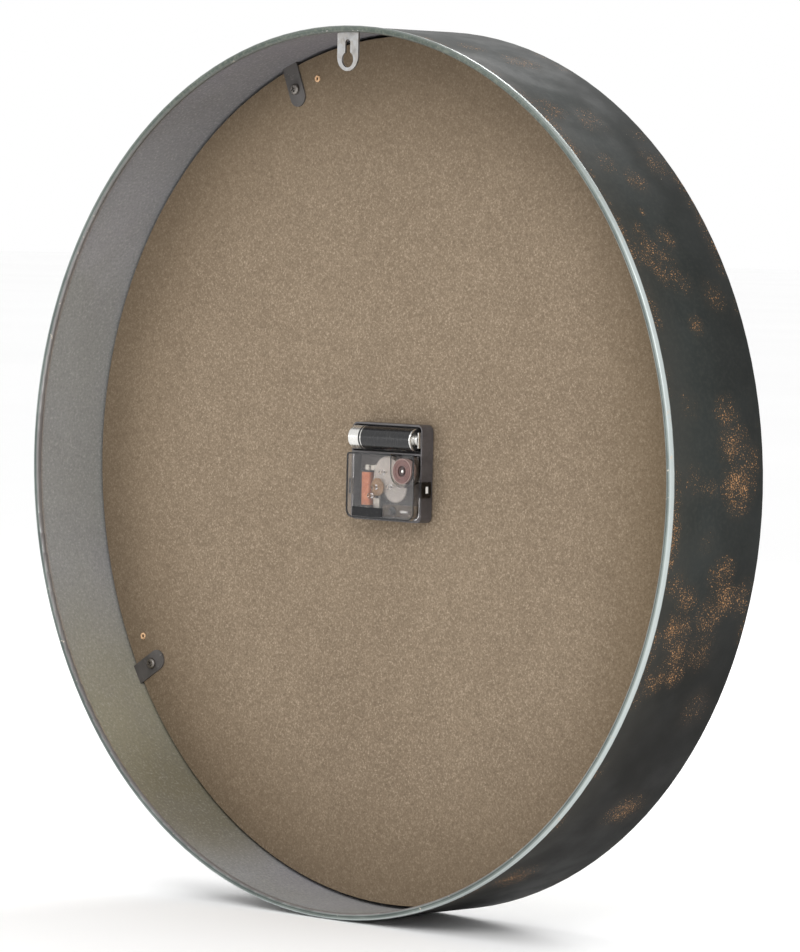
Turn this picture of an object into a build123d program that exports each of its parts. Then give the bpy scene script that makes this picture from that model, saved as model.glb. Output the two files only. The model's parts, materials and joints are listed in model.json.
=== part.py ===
"""Wall clock: a deep sheet-metal drum with a recessed board, quartz movement, dial, hands and glass.

Millimetres. Origin on the hands' axis at half the drum's depth; front faces -Y, the wall is on +Y, +Z is up.
"""
import os
from math import acos, atan2, cos, degrees, hypot, pi, radians, sin, sqrt, tan

from build123d import *

os.makedirs("parts", exist_ok=True)

# ---- drum ----
drum_diameter = 508.0
drum_depth = 78.0
drum_sheet = 1.2
hem_width = 3.8             # rolled hem round the rear edge
hem_corner = 1.3
hem_proud = 0.6             # how far the hem stands outside the wall
front_corner = 1.0
front_ring_width = 12.0     # ring welded inside the front edge, in front of the glass
front_ring_corner = 0.5
insert_clearance = 0.2      # board, glass and spacer pass inside the hem

# ---- stack inside the drum ----
hand_space = 16.4           # glass to dial
board_thickness = 4.0       # leaves a 53 mm deep recess behind the board
dial_thickness = 0.4
glass_thickness = 3.0
spacer_wall = 2.2

# ---- retaining clips and their screws ----
clip_angles = (67.8, 148.2, 225.0, 328.2)
clip_width = 12.0
clip_sheet = 1.0
clip_reach = 25.5           # foot length in from the wall
clip_leg = 20.0             # leg welded to the wall, down the gap beside the board
clip_screw_inset = 15.0     # screw centre in from the wall
screw_shank_radius = 1.4
screw_head_radius = 3.2
screw_head_height = 1.9
screw_end_gap = 0.6         # board left in front of a screw's end
screw_slot = 0.8
clip_hole_clearance = 0.2
spare_hole_radius = 1.2
spare_hole_step = 4.4       # degrees round from the clip
spare_hole_depth = 2.6

# ---- keyhole hanger ----
hanger_width = 16.5
hanger_sheet = 1.2
hanger_drop = 21.9          # below the hem's inner edge
hanger_flange = 12.0
keyhole_radius = 4.5
keyhole_rise = 6.5          # round hole centre above the plate's lower end
keyslot_radius = 2.0
keyslot_length = 9.5

# ---- dial print ----
print_thickness = 0.15
track_margin = 22.0         # dial edge to the minute track
track_height = 10.0
numeral_gap = 7.0           # track to the numerals
numeral_height = 42.0
numeral_thick = 5.6
numeral_thin = 2.0
numeral_pitch = 9.5
serif_height = 1.6
track_line = 0.8
tick_width = 1.6
hour_tick_width = 4.2

# ---- hands ----
hand_sheet = 0.6
minute_hand_gap = 13.0      # tip to the minute track
minute_tail = 48.0
hour_hand_gap = 31.0        # tip to the numerals
hour_tail = 34.0
hand_hub_radius = 9.0

# ---- movement case ----
case_low = 28.0             # lower face below the hands' axis
case_floor = 1.2
case_wall = 1.6
case_depth = 9.0
case_top_corner = 4.0
case_low_corner = 3.5
bay_wall = 1.0
bay_play = 1.3              # bay height over the cell's diameter
spring_space = 2.7          # bay length for the negative spring
bay_corner = 2.5
divider_low = 10.0          # lower face of the wall under the battery bay
divider_thickness = 1.5
cover_inset = 1.0
cover_depth = 5.3
cover_wall = 1.0
latch_width = 9.0
latch_length = 7.0
latch_sheet = 1.0
latch_window = (4.4, 2.6)
latch_z = -9.0
post_radius = 1.4
board_post_radius = 1.1

# ---- battery and contacts; the positive end points to +X ----
cell_radius = 7.1
cell_length = 49.5
cell_nub_radius = 2.75
cell_nub_length = 1.0
cell_lift = 0.2
jacket_thickness = 0.2
jacket_edge = 0.9
contact_sheet = 0.4
contact_size = 9.0
spring_wire = 0.3
spring_radius = 3.0
spring_turns = 3

# ---- centre bush and fixings ----
bush_radius = 4.0
rubber_thickness = 1.0
rubber_radius = 9.0
washer_radius = 7.5
washer_thickness = 0.5
nut_across_flats = 12.0
nut_thickness = 2.5
bush_past_nut = 1.0
board_hole_clearance = 0.3
washer_clearance = 0.1

# ---- arbors, pipes and bearings ----
running = 0.05              # radial play of every bearing
arbor_radius = 0.5
seconds_arbor_radius = 0.6
centre_stub_radius = 1.3
cannon_pipe_radius = 1.75
cannon_thread_radius = 1.25
hour_pipe_radius = 2.5
hour_pipe_past_bush = 3.1
cannon_pipe_past_hour = 2.5
cannon_thread_length = 2.3
collet_wall = 0.9
collet_flange = 1.8
cap_radius = 4.2
cap_height = 3.0
bearing_boss_radius = 1.6
bearing_boss_length = 1.9
pivot_end_gap = 0.4
knob_shaft_radius = 1.5
knob_pivot_radius = 0.8

# ---- gear train ----
pressure_angle = radians(25)
tooth_backlash = 0.05       # taken off each tooth's width
wheel_addendum = 0.65       # in modules
pinion_addendum = 0.85
root_depth = 1.1
train_pinion = 8            # leaves on every going-train pinion
centre_teeth = 64
third_teeth = 60
seconds_teeth = 48
inter_teeth = 40
motion_pinion = 10          # leaves on the cannon and minute-wheel pinions
minute_teeth = 30
hour_teeth = 40
knob_teeth = 15
third_distance = 10.2
inter_distance = 10.36
rotor_distance = 6.0
minute_distance = 9.0
third_angle = -126.0
inter_angle = -57.9
rotor_angle = -57.8
knob_z = 1.3
wheel_web = 0.7

# ---- motor and electronics ----
plate_thickness = 1.0
magnet_radius = 1.5
magnet_length = 2.4
stator_gap = 0.4
stator_width = 5.0
stator_sheet = 0.8
coil_x, coil_z = 15.6, -10.0
coil_length = 21.0
coil_width = 8.0
coil_thickness = 5.6
coil_flange = 1.0
core_width = 3.0
pcb_size = (26.0, 7.2)
pcb_centre = (-8.0, -22.3)
pcb_thickness = 0.8
blob_radius = 2.6
crystal_radius = 1.0
crystal_length = 6.0

# ---- setting knob and label ----
knob_radius = 7.3
knob_height = 3.9
knob_flutes = 30
knob_groove = 0.4
well_clearance = 1.2
well_edge_gap = 0.5         # well to the cover's side wall
well_floor = 0.8
label_size = (24.0, 5.3)
label_centre = (9.7, -23.2)
label_thickness = 0.1

# ---- derived radii ----
drum_radius = drum_diameter / 2
wall_outer = drum_radius - hem_proud
wall_inner = wall_outer - drum_sheet
hem_inner = drum_radius - hem_width
insert_radius = hem_inner - insert_clearance
track_outer = insert_radius - track_margin
track_inner = track_outer - track_height
numeral_inner = track_inner - numeral_gap - numeral_height
numeral_radius = numeral_inner + numeral_height / 2
minute_length = track_inner - minute_hand_gap
hour_length = numeral_inner - hour_hand_gap

# ---- derived case: its width follows the cell, its top follows the bay ----
half_case = (cell_length + cell_nub_length + spring_space) / 2 + contact_sheet + bay_wall
half_cover = half_case - cover_inset
bay_low = divider_low + divider_thickness
bay_height = 2 * cell_radius + bay_play
bay_z = bay_low + bay_height / 2
case_high = bay_low + bay_height + bay_wall
well_radius = knob_radius + well_clearance
knob_x = well_radius + well_edge_gap + cover_wall - half_cover

# ---- derived planes along Y, front to rear ----
y_rear = drum_depth / 2
y_front = -y_rear
y_glass = y_front + drum_sheet
y_spacer = y_glass + glass_thickness
y_dial = y_spacer + hand_space
y_board = y_dial + dial_thickness
y_board_rear = y_board + board_thickness
y_screw_end = y_board + screw_end_gap
y_print = y_dial - print_thickness
y_washer = y_dial - washer_thickness
y_nut = y_washer - nut_thickness
y_bush = y_nut - bush_past_nut
y_case = y_board_rear + rubber_thickness
y_floor = y_case + case_floor
y_case_top = y_case + case_depth
y_cover_top = y_case_top + cover_depth
y_roof = y_cover_top - cover_wall
y_hour_wheel = y_floor + 0.2
y_minute_wheel = y_floor + 1.3
y_plate = y_floor + 2.6
y_train = y_plate + plate_thickness      # rear face of the middle plate
y_centre_wheel = y_train + 0.3
y_third_wheel = y_train + 1.8
y_seconds_wheel = y_train + 3.1
y_inter_wheel = y_train + 4.7
y_stator = y_train + 1.8
y_pivot = y_roof - pivot_end_gap
y_hour_pipe = y_bush - hour_pipe_past_bush
y_minute_hand = y_hour_pipe - cannon_pipe_past_hour


def slab(sketch, y0, y1):
    """Solid between the planes y0 and y1 from a sketch drawn with x to +X and y to +Z."""
    return Rot(90, 0, 0) * (Pos(0, 0, -y1) * extrude(sketch, y1 - y0))


def disc(radius, y0, y1, at=(0, 0)):
    return slab(Pos(*at) * Circle(radius), y0, y1)


def ring(outer, inner, y0, y1, at=(0, 0)):
    return slab(Pos(*at) * (Circle(outer) - Circle(inner)), y0, y1)


def block(x0, x1, z0, z1, y0, y1):
    return slab(Pos((x0 + x1) / 2, (z0 + z1) / 2) * Rectangle(x1 - x0, z1 - z0), y0, y1)


def bar(length, width, x0=0.0):
    """Rectangle starting at x0 and running along +X."""
    return Pos(x0 + length / 2, 0) * Rectangle(length, width)


def polar(radius, angle):
    return radius * cos(radians(angle)), radius * sin(radians(angle))


def about(centre, radius, angle):
    dx, dz = polar(radius, angle)
    return centre[0] + dx, centre[1] + dz


def bearing(a, b):
    """Direction in degrees from point a to point b."""
    return degrees(atan2(b[1] - a[1], b[0] - a[0]))


def save(shape, name):
    shape.label = name
    export_step(shape, f"parts/{name}.step")


def group(solids, name):
    save(Compound(children=[s.solid() if len(s.solids()) == 1 else s for s in solids]), name)


# ---- gears ----
def gear(teeth, module, addendum, phase, at, y0, y1):
    """Involute gear with one tooth centred on the direction phase."""
    pitch = teeth * module / 2
    base = pitch * cos(pressure_angle)
    root = pitch - root_depth * module
    tip = pitch + addendum * module
    half = (pi * module / 2 - tooth_backlash) / (2 * pitch)

    def flank(r):
        a = acos(min(1.0, base / max(r, base)))
        return half + (tan(pressure_angle) - pressure_angle) - (tan(a) - a)

    start = max(root, base)
    radii = [root, start, (start + tip) / 2, tip] if start > root else [root, (root + tip) / 2, tip]
    points = []
    for k in range(teeth):
        centre = radians(phase) + 2 * pi * k / teeth
        for side, order in ((-1, radii), (1, radii[::-1])):
            for r in order:
                angle = centre + side * flank(r)
                points.append((at[0] + r * cos(angle), at[1] + r * sin(angle)))
    return slab(make_face(Polyline(*points, close=True)), y0, y1)


def mesh_phase(phase, centre, teeth, other, other_teeth):
    """Phase of the gear at other, so its gaps take the teeth of the first gear."""
    line = bearing(centre, other)
    return line + 180 - (phase - line) * teeth / other_teeth + 180 / other_teeth


def pair(phase, a, a_teeth, b, b_teeth):
    """Module and second phase of a meshed pair on fixed centres."""
    module = 2 * hypot(b[0] - a[0], b[1] - a[1]) / (a_teeth + b_teeth)
    return module, mesh_phase(phase, a, a_teeth, b, b_teeth)


centre_at = (0.0, 0.0)
third_at = polar(third_distance, third_angle)
inter_at = polar(inter_distance, inter_angle)
rotor_at = about(inter_at, rotor_distance, rotor_angle)
knob_at = (knob_x, knob_z)

knob_reach = minute_distance * 2 * 0.5 * (minute_teeth + knob_teeth) / (minute_teeth + motion_pinion)
knob_span = hypot(knob_x, knob_z)
along = (minute_distance**2 - knob_reach**2 + knob_span**2) / (2 * knob_span)
minute_angle = bearing(centre_at, knob_at) + degrees(acos(along / minute_distance))
minute_at = polar(minute_distance, minute_angle)

# ---- drum: wall with its rear hem, and the ring in its front edge ----
profile = Pos((wall_outer + wall_inner) / 2, -hem_width / 4) * Rectangle(drum_sheet, drum_depth - hem_width / 2)
profile = fillet(profile.vertices().group_by(Axis.Y)[0].sort_by(Axis.X)[-1], front_corner)
profile += Pos(drum_radius - hem_width / 2, y_rear - hem_width / 2) * RectangleRounded(
    hem_width, hem_width, hem_corner)
save(revolve(profile, Axis.Y), "drum_band")
lip = Pos(wall_inner - front_ring_width / 2, y_front + drum_sheet / 2) * Rectangle(front_ring_width, drum_sheet)
lip = fillet(lip.vertices().group_by(Axis.X)[0], front_ring_corner)
save(revolve(lip, Axis.Y), "front_ring")

# ---- keyhole hanger ----
y_hanger = y_rear - hem_width
hanger_low = hem_inner - hanger_drop
hole_z = hanger_low + keyhole_rise
shape = Pos(0, (hanger_low + hanger_width / 2 + drum_radius) / 2) * Rectangle(
    hanger_width, drum_radius - hanger_low - hanger_width / 2)
shape += Pos(0, hanger_low + hanger_width / 2) * Circle(hanger_width / 2)
shape &= Circle(wall_inner)
shape -= Pos(0, hole_z) * Circle(keyhole_radius)
shape -= Pos(0, hole_z + keyslot_length / 2) * Rectangle(2 * keyslot_radius, keyslot_length)
shape -= Pos(0, hole_z + keyslot_length) * Circle(keyslot_radius)
flange = (Circle(wall_inner) - Circle(wall_inner - hanger_sheet)) & (
    Pos(0, drum_radius) * Rectangle(hanger_width, 12 * hanger_sheet))
hanger = slab(shape, y_hanger - hanger_sheet, y_hanger)
hanger += slab(flange, y_hanger - hanger_flange, y_hanger)
save(hanger, "keyhole_hanger")

# ---- retaining clips and screws ----
screw_radius_at = wall_inner - clip_screw_inset
foot = bar(clip_reach - clip_width / 2, clip_width, wall_inner - clip_reach + clip_width / 2)
foot += Pos(wall_inner - clip_reach + clip_width / 2, 0) * Circle(clip_width / 2)
foot &= Circle(wall_inner)
foot -= Pos(screw_radius_at, 0) * Circle(screw_shank_radius + clip_hole_clearance)
leg = (Circle(wall_inner) - Circle(wall_inner - clip_sheet)) & bar(clip_width, clip_width, wall_inner - 6)
y_clip = y_board_rear + clip_sheet
clips, screws = [], []
for angle in clip_angles:
    turn = Rot(0, 0, angle)
    clips.append(slab(turn * foot, y_board_rear, y_clip)
                 + slab(turn * leg, y_clip - clip_leg, y_clip))
    spot = polar(screw_radius_at, angle)
    head = disc(screw_head_radius, y_clip, y_clip + screw_head_height, spot)
    head = fillet(head.edges().group_by(Axis.Y)[-1], 1.2)
    arms = Rectangle(3.6, screw_slot) + Rectangle(screw_slot, 3.6)
    head -= slab(Pos(*spot) * (turn * arms), y_clip + screw_head_height - 1.0, y_clip + screw_head_height)
    screws.append(head + disc(screw_shank_radius, y_screw_end, y_clip, spot))
group(clips, "panel_clips")
group(screws, "clip_screws")

# ---- board, dial, spacer, glass ----
board = disc(insert_radius, y_board, y_board_rear) - disc(bush_radius + board_hole_clearance, y_board, y_board_rear)
for angle in clip_angles:
    board -= disc(screw_shank_radius, y_screw_end, y_board_rear, polar(screw_radius_at, angle))
for angle in (clip_angles[0], clip_angles[3]):
    spot = polar(screw_radius_at, angle + spare_hole_step)
    board -= disc(spare_hole_radius, y_board_rear - spare_hole_depth, y_board_rear, spot)
save(board, "back_board")
save(ring(insert_radius, bush_radius + board_hole_clearance, y_dial, y_board), "dial_face")
save(ring(insert_radius, insert_radius - spacer_wall, y_spacer, y_dial), "spacer_ring")
save(disc(insert_radius, y_glass, y_spacer), "glass_lens")

# ---- dial print ----
numerals = ("XII", "I", "II", "III", "IIII", "V", "VI", "VII", "VIII", "IX", "X", "XI")
advance = {"I": numeral_pitch, "V": 2.1 * numeral_pitch, "X": 2.1 * numeral_pitch}
stroke_lean = degrees(atan2(0.62 * numeral_pitch, numeral_height))
half_height = numeral_height / 2


def stroke(x, lean, width):
    """Upright bar of full numeral height, leaning by a few degrees."""
    tall = Rectangle(width, numeral_height * 1.2)
    return (Pos(x, 0) * (Rot(0, 0, lean) * tall)) & Pos(x, 0) * Rectangle(60, numeral_height - serif_height)


def letter(kind, x):
    if kind == "I":
        marks = stroke(x, 0, numeral_thick)
        widths = (numeral_thick + 4.4,)
    elif kind == "X":
        marks = stroke(x, 1.9 * stroke_lean, numeral_thick) + stroke(x, -1.9 * stroke_lean, numeral_thin)
        widths = (1.9 * numeral_pitch,)
    else:
        lean = 0.62 * numeral_pitch * 0.9
        marks = stroke(x - lean, stroke_lean * 0.93, numeral_thick)
        marks += stroke(x + lean, -stroke_lean * 0.93, numeral_thin)
        widths = (1.9 * numeral_pitch,)
    serifs = Pos(x, half_height - serif_height / 2) * Rectangle(widths[0], serif_height)
    if kind != "V":
        serifs += Pos(x, serif_height / 2 - half_height) * Rectangle(widths[0], serif_height)
    return marks + serifs


marks = []
for hour, word in enumerate(numerals):
    width = sum(advance[c] for c in word)
    cursor, shape = -width / 2, None
    for c in word:
        glyph = letter(c, cursor + advance[c] / 2)
        shape = glyph if shape is None else shape + glyph
        cursor += advance[c]
    placed = Rot(0, 0, -30 * hour) * (Pos(0, numeral_radius) * shape)
    marks += slab(placed, y_print, y_dial).solids()
group(marks, "dial_numerals")

track = [ring(r + track_line / 2, r - track_line / 2, y_print, y_dial) for r in (track_outer, track_inner)]
tick_length = track_outer - track_inner - track_line
for minute in range(60):
    width = hour_tick_width if minute % 5 == 0 else tick_width
    tick = Rot(0, 0, 6 * minute) * bar(tick_length, width, track_inner + track_line / 2)
    tick &= Circle(track_outer - track_line / 2)
    tick -= Circle(track_inner + track_line / 2)
    track.append(slab(tick, y_print, y_dial))
minute_track = track[0]
for piece in track[1:]:
    minute_track += piece
save(minute_track, "minute_track")


# ---- hands ----
def hand(length, tail, belly, y0, bore):
    """Spade hand pointing to twelve: slim stem, leaf-shaped head, tapered tail."""
    stem = 0.42 * belly
    blade = Polyline((-stem * 0.8, -tail * 0.55), (-stem * 0.55, length * 0.52), (-belly, length * 0.66),
                     (-belly * 0.72, length * 0.78), (-0.7, length), (0.7, length),
                     (belly * 0.72, length * 0.78), (belly, length * 0.66), (stem * 0.55, length * 0.52),
                     (stem * 0.8, -tail * 0.55), (belly * 0.6, -tail * 0.8), (0, -tail),
                     (-belly * 0.6, -tail * 0.8), close=True)
    outline = make_face(blade) + Circle(hand_hub_radius) - Circle(bore)
    return slab(outline, y0, y0 + hand_sheet)


collet_outer = hour_pipe_radius + collet_wall
y_hour_hand = y_hour_pipe + 1.0
save(hand(hour_length, hour_tail, 11.0, y_hour_hand, collet_outer), "hour_hand")
collet = ring(collet_outer, hour_pipe_radius, y_hour_hand - 0.3, y_hour_hand + hand_sheet + 1.0)
collet += ring(collet_outer + collet_flange, hour_pipe_radius, y_hour_hand + hand_sheet,
               y_hour_hand + hand_sheet + 1.0)
save(collet, "hour_collet")
save(hand(minute_length, minute_tail, 8.0, y_minute_hand, cannon_pipe_radius), "minute_hand")
cap = disc(cap_radius, y_minute_hand - cap_height, y_minute_hand)
cap = fillet(cap.edges().group_by(Axis.Y)[0], 1.8)
cap -= disc(cannon_thread_radius, y_minute_hand - cannon_thread_length, y_minute_hand)
save(cap, "hand_cap_nut")

# ---- centre bush, washers, nut ----
save(ring(bush_radius, hour_pipe_radius + running, y_bush, y_floor), "threaded_bush")
save(ring(rubber_radius, bush_radius + washer_clearance, y_board_rear, y_case), "rubber_washer")
save(ring(washer_radius, bush_radius + washer_clearance, y_washer, y_dial), "brass_washer")
nut = RegularPolygon(nut_across_flats / 2, 6, major_radius=False) - Circle(bush_radius)
save(slab(nut, y_nut, y_washer), "hex_nut")

# ---- movement base ----
outline = Pos(0, (case_high - case_low) / 2) * Rectangle(2 * half_case, case_high + case_low)
outline = fillet(outline.vertices().group_by(Axis.Y)[-1], case_top_corner)
outline = fillet(outline.vertices().group_by(Axis.Y)[0], case_low_corner)
chamber = Pos(0, (divider_low - case_low + case_wall) / 2) * Rectangle(
    2 * (half_case - case_wall), divider_low + case_low - case_wall)
chamber = fillet(chamber.vertices().group_by(Axis.Y)[0], case_low_corner - case_wall / 2)
bay = Pos(0, bay_z) * Rectangle(2 * (half_case - bay_wall), bay_height)
bay = fillet(bay.vertices().group_by(Axis.Y)[-1], bay_corner)
base = slab(outline, y_case, y_case_top) - slab(chamber, y_floor, y_case_top) - slab(bay, y_floor, y_case_top)
base -= disc(bush_radius, y_case, y_floor)
for spot, radius in ((minute_at, arbor_radius + running), (knob_at, knob_pivot_radius + running)):
    base -= disc(radius, y_floor - 0.8, y_floor, spot)
plate_half = half_case - case_wall - 2.4
plate_low = pcb_centre[1] + pcb_size[1] / 2 + 1.7
plate_high = divider_low - 0.6
plate_posts = [(x, z) for x in (2 - plate_half, plate_half - 2) for z in (plate_low + 2, plate_high - 2.2)]
pcb_posts = [(pcb_centre[0] + dx, pcb_centre[1]) for dx in (-10.5, 10.5)]
for spot in plate_posts:
    base += disc(post_radius, y_floor, y_plate, spot)
for spot in pcb_posts:
    base += disc(board_post_radius, y_floor, y_train, spot)
window_w, window_h = latch_window
for side in (-1, 1):
    x0, x1 = sorted((side * half_case, side * (half_case + latch_sheet * 0.8)))
    nib = block(x0, x1, latch_z - window_w / 2 + 0.3, latch_z + window_w / 2 - 0.3,
                y_case_top - latch_length + 2.2, y_case_top - latch_length + 1.9 + window_h - 0.3)
    base += nib
save(base, "movement_base")

# ---- clear cover with the knob well and rear bearings ----
cover_low, cover_high = cover_inset - case_low, divider_low + 0.6


def cover_outline(inset):
    low, high, half = cover_low + inset, cover_high - inset, half_cover - inset
    shape = Pos(0, (low + high) / 2) * Rectangle(2 * half, high - low)
    shape = fillet(shape.vertices().group_by(Axis.Y)[0], 5.0 - inset)
    return fillet(shape.vertices().group_by(Axis.Y)[-1], 2.0 - inset)


def well_outline(radius):
    rise = cover_high - knob_z
    return Pos(*knob_at) * (Circle(radius) + Pos(0, rise / 2) * Rectangle(2 * radius, rise))


y_well = y_case_top + well_floor
cover = slab(cover_outline(0), y_case_top, y_cover_top) - slab(cover_outline(cover_wall), y_case_top, y_roof)
cover += slab(well_outline(well_radius + cover_wall) & cover_outline(0), y_case_top, y_cover_top)
cover -= slab(well_outline(well_radius), y_well, y_cover_top)
cover -= disc(knob_shaft_radius + running, y_case_top, y_well, knob_at)
pivots = ((centre_at, seconds_arbor_radius), (third_at, arbor_radius), (inter_at, arbor_radius),
          (rotor_at, arbor_radius))
for spot, radius in pivots:
    cover += disc(bearing_boss_radius, y_roof - bearing_boss_length, y_roof, spot)
for spot, radius in pivots:
    cover -= disc(radius + running, y_roof - bearing_boss_length, y_roof, spot)
for side in (-1, 1):
    x0, x1 = sorted((side * half_case, side * (half_case + latch_sheet)))
    tongue = block(x0, x1, latch_z - latch_width / 2, latch_z + latch_width / 2,
                   y_case_top - latch_length, y_case_top + cover_wall)
    inner, outer = sorted((side * (half_cover - cover_wall), side * (half_case + latch_sheet)))
    tongue += block(inner, outer, latch_z - latch_width / 2, latch_z + latch_width / 2,
                    y_case_top, y_case_top + cover_wall)
    tongue -= block(x0, x1, latch_z - window_w / 2, latch_z + window_w / 2,
                    y_case_top - latch_length + 1.9, y_case_top - latch_length + 1.9 + window_h)
    cover += tongue
save(cover, "movement_cover")
save(slab(Pos(*label_centre) * Rectangle(*label_size), y_cover_top, y_cover_top + label_thickness),
     "blank_label")

# ---- battery ----
cell_y = y_floor + cell_lift + cell_radius
x_positive = half_case - bay_wall - contact_sheet
x_shoulder = x_positive - cell_nub_length
x_negative = x_shoulder - cell_length


def rod(radius, x0, x1, y, z):
    """Round bar along X."""
    return Pos(x0, y, z) * (Rot(0, 90, 0) * extrude(Circle(radius), x1 - x0))


can = rod(cell_radius - jacket_thickness, x_negative, x_shoulder, cell_y, bay_z)
can = fillet(can.edges().filter_by(GeomType.CIRCLE), 0.6)
save(can + rod(cell_nub_radius, x_shoulder, x_positive, cell_y, bay_z), "battery_cell")
jacket_from, jacket_to = x_negative + jacket_edge, x_shoulder - jacket_edge
save(rod(cell_radius, jacket_from, jacket_to, cell_y, bay_z)
     - rod(cell_radius - jacket_thickness, jacket_from, jacket_to, cell_y, bay_z), "battery_jacket")

# ---- battery contacts ----
contact_low, contact_top = y_floor + 1.0, y_floor + 1.0 + contact_size
bay_edge = half_case - bay_wall


def contact(x0, x1):
    return Pos((x0 + x1) / 2, (contact_low + contact_top) / 2, bay_z) * Box(x1 - x0, contact_size, contact_size)


save(contact(bay_edge - contact_sheet, bay_edge), "positive_contact")
save(contact(-bay_edge, -bay_edge + contact_sheet), "negative_contact")
coil_rise = spring_space - 2 * spring_wire
coil_path = Helix(pitch=coil_rise / spring_turns, height=coil_rise, radius=spring_radius)
wire = sweep(Plane(origin=coil_path @ 0, z_dir=coil_path % 0) * Circle(spring_wire), path=coil_path)
save(Pos(x_negative - spring_wire, cell_y, bay_z) * (Rot(0, -90, 0) * wire), "contact_spring")

# ---- middle plate ----
plate = block(-plate_half, plate_half, plate_low, plate_high, y_plate, y_train)
for spot, radius in ((centre_at, centre_stub_radius), (third_at, arbor_radius), (inter_at, arbor_radius),
                     (rotor_at, arbor_radius), (minute_at, arbor_radius), (knob_at, knob_shaft_radius)):
    plate -= disc(radius + running, y_plate, y_train, spot)
save(plate, "middle_plate")

# ---- motion work ----
cannon_module, minute_phase = pair(0, centre_at, motion_pinion, minute_at, minute_teeth)
hour_module, hour_phase = pair(0, minute_at, motion_pinion, centre_at, hour_teeth)
knob_module, knob_phase = pair(minute_phase, minute_at, minute_teeth, knob_at, knob_teeth)

hour_wheel = gear(hour_teeth, hour_module, wheel_addendum, hour_phase, centre_at,
                  y_hour_wheel, y_hour_wheel + wheel_web)
hour_wheel += disc(hour_pipe_radius, y_hour_pipe, y_hour_wheel)
hour_wheel -= disc(cannon_pipe_radius + running, y_hour_pipe, y_hour_wheel + wheel_web)
save(hour_wheel, "hour_wheel")

minute_wheel = gear(minute_teeth, cannon_module, wheel_addendum, minute_phase, minute_at,
                    y_minute_wheel, y_minute_wheel + wheel_web)
minute_wheel += gear(motion_pinion, hour_module, pinion_addendum, 0, minute_at, y_floor + 0.1, y_minute_wheel)
minute_wheel += disc(arbor_radius, y_floor - 0.7, y_train - 0.1, minute_at)
save(minute_wheel, "minute_wheel")

y_clutch = y_floor - 1.2
cannon = gear(motion_pinion, cannon_module, pinion_addendum, 0, centre_at,
              y_hour_wheel + wheel_web + 0.2, y_plate - 0.2)
cannon += disc(cannon_pipe_radius, y_minute_hand, y_plate - 0.2)
cannon += disc(cannon_thread_radius, y_minute_hand - cannon_thread_length, y_minute_hand)
cannon -= disc(centre_stub_radius, y_clutch, y_plate - 0.2)
save(cannon, "cannon_pinion")

setting_shaft = gear(knob_teeth, knob_module, wheel_addendum, knob_phase, knob_at,
                     y_minute_wheel, y_minute_wheel + wheel_web)
setting_shaft += disc(knob_shaft_radius, y_minute_wheel, y_well + 0.3 + knob_height - 0.4, knob_at)
setting_shaft += disc(knob_pivot_radius, y_floor - 0.7, y_minute_wheel, knob_at)
save(setting_shaft, "setting_shaft")

y_knob = y_well + 0.3
knob = Circle(knob_radius)
for k in range(knob_flutes):
    knob -= Pos(*polar(knob_radius + 0.25, 360 * k / knob_flutes)) * Circle(0.45)
knob = slab(Pos(*knob_at) * knob, y_knob, y_knob + knob_height)
for radius in (6.3, 5.2, 4.1):
    knob -= ring(radius + knob_groove / 2, radius - knob_groove / 2, y_knob + knob_height - 0.5,
                 y_knob + knob_height, knob_at)
knob -= ring(3.2, 2.1, y_knob + knob_height - 0.9, y_knob + knob_height, knob_at)
knob -= disc(knob_shaft_radius, y_knob, y_knob + knob_height, knob_at)
save(knob, "setting_knob")

# ---- going train ----
centre_module, third_pinion_phase = pair(0, centre_at, centre_teeth, third_at, train_pinion)
third_module, seconds_pinion_phase = pair(0, third_at, third_teeth, centre_at, train_pinion)
seconds_module, inter_pinion_phase = pair(0, centre_at, seconds_teeth, inter_at, train_pinion)
inter_module, rotor_pinion_phase = pair(0, inter_at, inter_teeth, rotor_at, train_pinion)
pinion_past = 0.2           # pinions run slightly past the wheels they mesh with

centre_wheel = gear(centre_teeth, centre_module, wheel_addendum, 0, centre_at,
                    y_centre_wheel, y_centre_wheel + wheel_web)
centre_wheel += disc(centre_stub_radius, y_clutch, y_centre_wheel)
centre_wheel -= disc(seconds_arbor_radius + running, y_clutch, y_centre_wheel + wheel_web)
save(centre_wheel, "centre_wheel")


def compound(wheel, pinion, at, radius, y0):
    """Wheel and pinion moulded on one arbor that runs from y0 to the cover's bearing."""
    return wheel + pinion + disc(radius, y0, y_pivot, at)


third_wheel = compound(
    gear(third_teeth, third_module, wheel_addendum, 0, third_at, y_third_wheel, y_third_wheel + wheel_web),
    gear(train_pinion, centre_module, pinion_addendum, third_pinion_phase, third_at,
         y_centre_wheel - 0.1, y_third_wheel), third_at, arbor_radius, y_plate + 0.1)
save(third_wheel, "third_wheel")

seconds_wheel = compound(
    gear(seconds_teeth, seconds_module, wheel_addendum, 0, centre_at, y_seconds_wheel,
         y_seconds_wheel + wheel_web),
    gear(train_pinion, third_module, pinion_addendum, seconds_pinion_phase, centre_at,
         y_third_wheel - pinion_past, y_seconds_wheel), centre_at, seconds_arbor_radius, y_plate)
save(seconds_wheel, "seconds_wheel")

inter_wheel = compound(
    gear(inter_teeth, inter_module, wheel_addendum, 0, inter_at, y_inter_wheel, y_inter_wheel + wheel_web),
    gear(train_pinion, seconds_module, pinion_addendum, inter_pinion_phase, inter_at,
         y_seconds_wheel - pinion_past, y_inter_wheel), inter_at, arbor_radius, y_plate + 0.1)
save(inter_wheel, "intermediate_wheel")

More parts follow.
